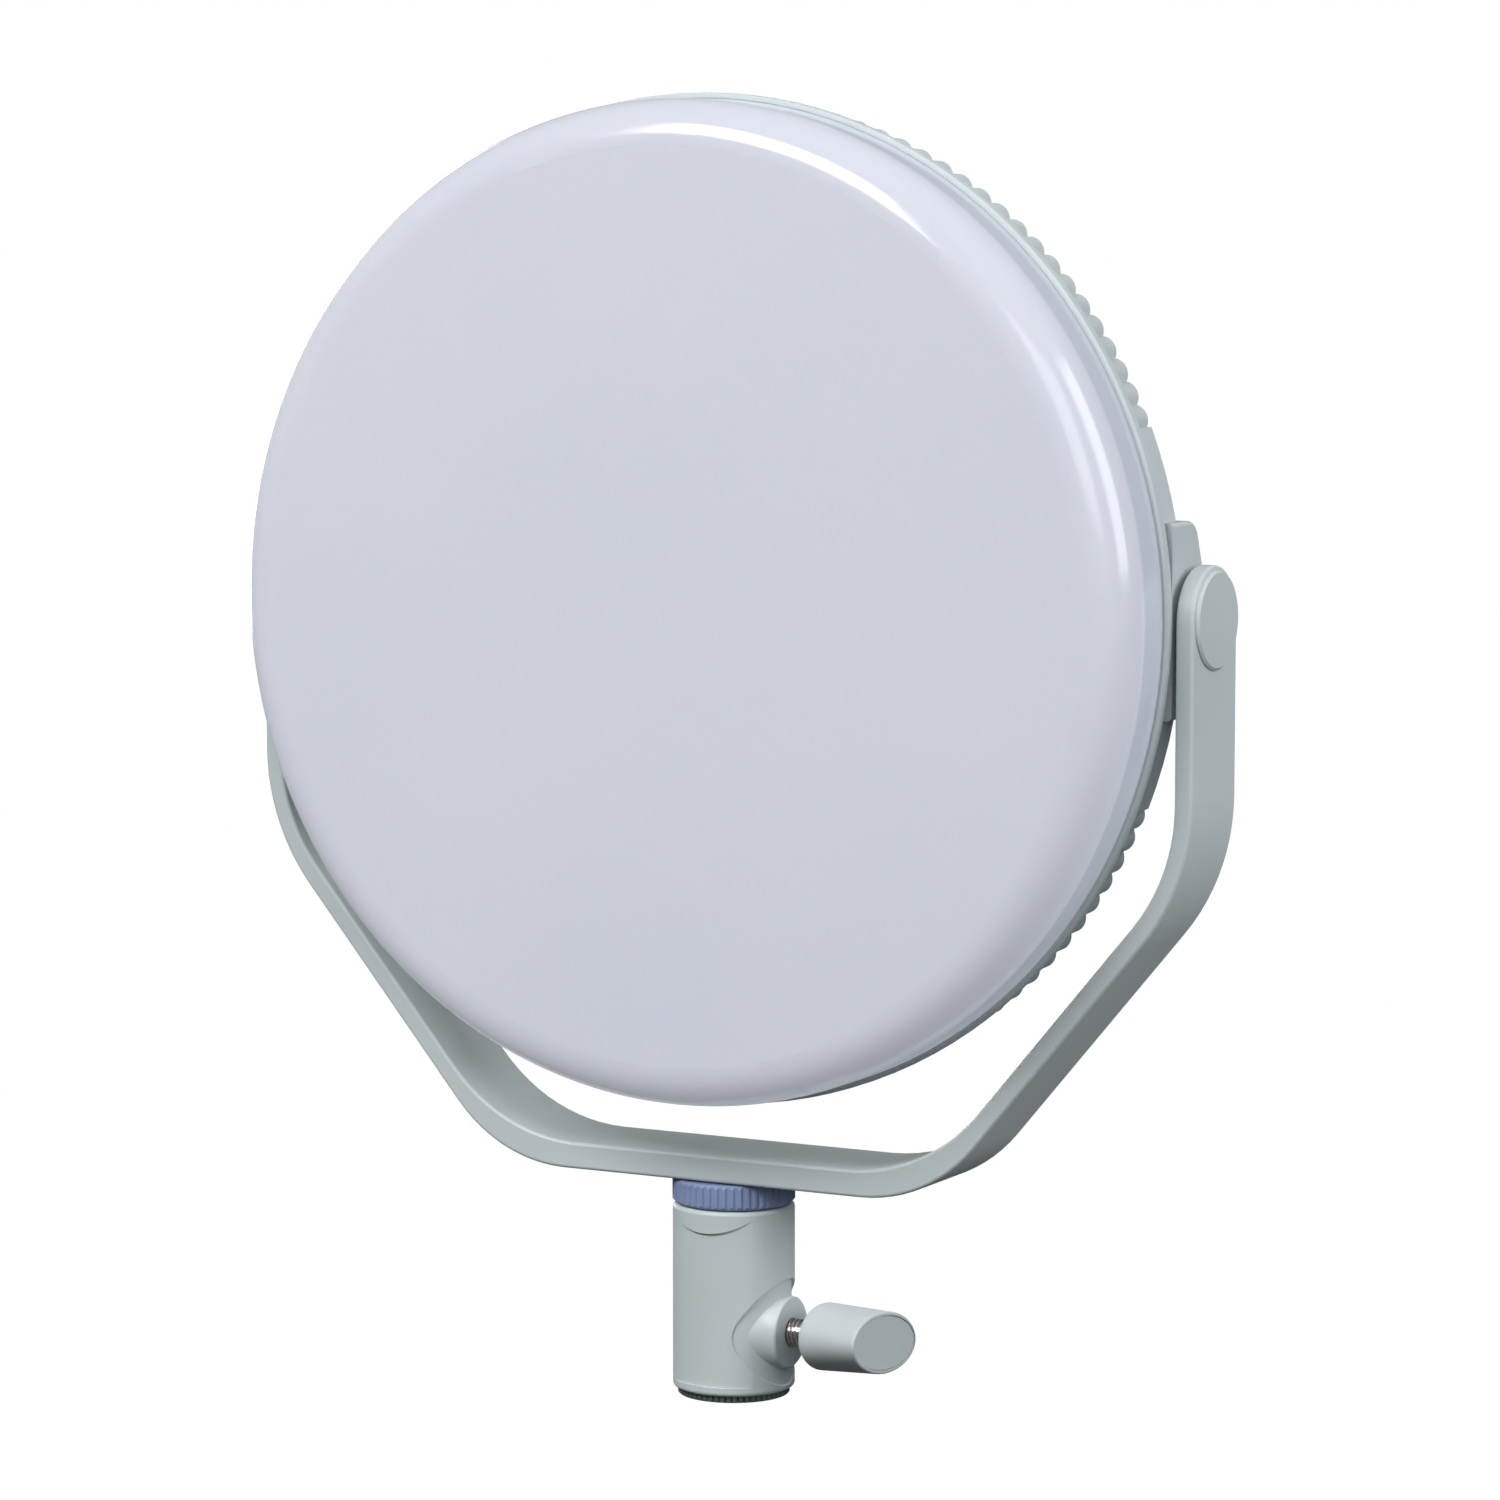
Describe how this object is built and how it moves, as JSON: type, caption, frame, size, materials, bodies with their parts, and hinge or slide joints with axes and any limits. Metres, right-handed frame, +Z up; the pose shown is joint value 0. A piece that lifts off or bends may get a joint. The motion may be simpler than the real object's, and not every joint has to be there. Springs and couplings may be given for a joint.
{
  "type": "round led panel light",
  "caption": "Round LED panel light with an opal diffuser and ribbed housing, tilting in a bent yoke that pans on a stand receiver with a clamp knob and a lock ring.",
  "frame": {"origin": "centre of the stud bore's mouth under the receiver", "axes": "+Z up along the stud bore and the pan axis, +X along the tilt axis towards the clamp knob, -Y the way the light shines"},
  "size_m": [0.2902, 0.0888, 0.3604],
  "materials": {
    "painted_metal": "satin",
    "housing_grey": "satin",
    "opal": "satin",
    "ring_blue": "satin",
    "steel": "satin",
    "dark_sleeve": "satin",
    "brass_insert": "machined",
    "bearing_plastic": "smooth",
    "plate_aluminium": "satin",
    "white_board": "matt",
    "emitter_yellow": "gloss",
    "green_board": "matt",
    "copper_coil": "wound",
    "capacitor_can": "satin",
    "white_connector": "matt",
    "black_plastic": "matt",
    "grey_button": "matt",
    "display_glass": "gloss"
  },
  "bodies": {
    "receiver": {"receiver": "painted_metal", "stud_sleeve": "dark_sleeve", "pan_bolt": "steel", "pan_washer": "steel", "pan_spring_washer": "steel"},
    "clamp_shoe": {"pressure_shoe": "steel"},
    "clamp_knob": {"clamp_screw": "steel", "clamp_knob": "housing_grey", "knob_cap": "housing_grey"},
    "lock_ring": {"lock_ring": "ring_blue"},
    "yoke": {"yoke": "painted_metal", "bar_cover": "painted_metal", "pan_bush": "bearing_plastic", "pivot_bush_right": "bearing_plastic", "pivot_bush_left": "bearing_plastic", "pivot_cap_right": "painted_metal", "pivot_cap_left": "painted_metal"},
    "brightness_dial": {"brightness_dial": "black_plastic", "brightness_shaft": "steel"},
    "colour_dial": {"colour_dial": "black_plastic", "colour_shaft": "steel"},
    "back_button": {"back_button": "grey_button"},
    "mode_button": {"mode_button": "grey_button"},
    "menu_button": {"menu_button": "grey_button"},
    "power_rocker": {"power_rocker": "black_plastic"},
    "head": {"control_board": "green_board", "control_panel": "black_plastic", "control_pod": "housing_grey", "control_screws": "steel", "dc_inlet": "black_plastic", "diffuser": "opal", "display_module": "black_plastic", "display_window": "display_glass", "driver_board": "green_board", "driver_capacitors": "capacitor_can", "driver_coils": "copper_coil", "driver_connectors": "white_connector", "driver_screws": "steel", "heat_plate": "plate_aluminium", "housing_ring": "housing_grey", "inlet_pin": "steel", "led_board": "white_board", "led_emitters": "emitter_yellow", "led_screws": "steel", "pivot_bolt_left": "steel", "pivot_bolt_right": "steel", "pivot_insert_left": "brass_insert", "pivot_insert_right": "brass_insert", "pivot_washer_left": "steel", "pivot_washer_right": "steel", "pod_screws": "steel", "rear_cover": "housing_grey", "rear_cover_screws": "steel", "reflector": "white_board", "rocker_frame": "black_plastic", "rotary_encoders": "black_plastic", "tact_switches": "black_plastic", "usb_shell": "steel", "usb_tongue": "white_connector"}
  },
  "joints": [
    {"name": "pan", "type": "hinge", "parent": "receiver", "child": "yoke", "pos_m": [0, 0, 0.065], "axis": [0, 0, 1], "continuous": true},
    {"name": "tilt", "type": "hinge", "parent": "yoke", "child": "head", "pos_m": [0, 0, 0.2224], "axis": [1, 0, 0], "continuous": true},
    {"name": "lock_turn", "type": "hinge", "parent": "receiver", "child": "lock_ring", "pos_m": [0, 0, 0.0576], "axis": [0, 0, 1], "range_deg": [0, 90]},
    {"name": "clamp_slide", "type": "slide", "parent": "receiver", "child": "clamp_shoe", "axis": [-1, 0, 0], "range_m": [0, 0.004]},
    {"name": "clamp_turn", "type": "hinge", "parent": "clamp_shoe", "child": "clamp_knob", "pos_m": [0.03, 0, 0.0185], "axis": [-1, 0, 0], "range_deg": [0, 1153]},
    {"name": "brightness_turn", "type": "hinge", "parent": "head", "child": "brightness_dial", "pos_m": [-0.035, 0.041, 0.2064], "axis": [0, 1, 0], "continuous": true},
    {"name": "colour_turn", "type": "hinge", "parent": "head", "child": "colour_dial", "pos_m": [0.035, 0.041, 0.2064], "axis": [0, 1, 0], "continuous": true},
    {"name": "back_press", "type": "slide", "parent": "head", "child": "back_button", "axis": [0, -1, 0], "range_m": [0, 0.0006], "stiffness_N_per_m": 400, "springref_m": -0.001},
    {"name": "mode_press", "type": "slide", "parent": "head", "child": "mode_button", "axis": [0, -1, 0], "range_m": [0, 0.0006], "stiffness_N_per_m": 400, "springref_m": -0.001},
    {"name": "menu_press", "type": "slide", "parent": "head", "child": "menu_button", "axis": [0, -1, 0], "range_m": [0, 0.0006], "stiffness_N_per_m": 400, "springref_m": -0.001},
    {"name": "power_rock", "type": "hinge", "parent": "head", "child": "power_rocker", "pos_m": [0.033, 0.024, 0.1734], "axis": [0, 1, 0], "range_deg": [-8, 8]}
  ],
  "couplings": [
    {"joint": "clamp_turn", "follows": "clamp_slide", "rad_per_m": 5026.5}
  ]
}
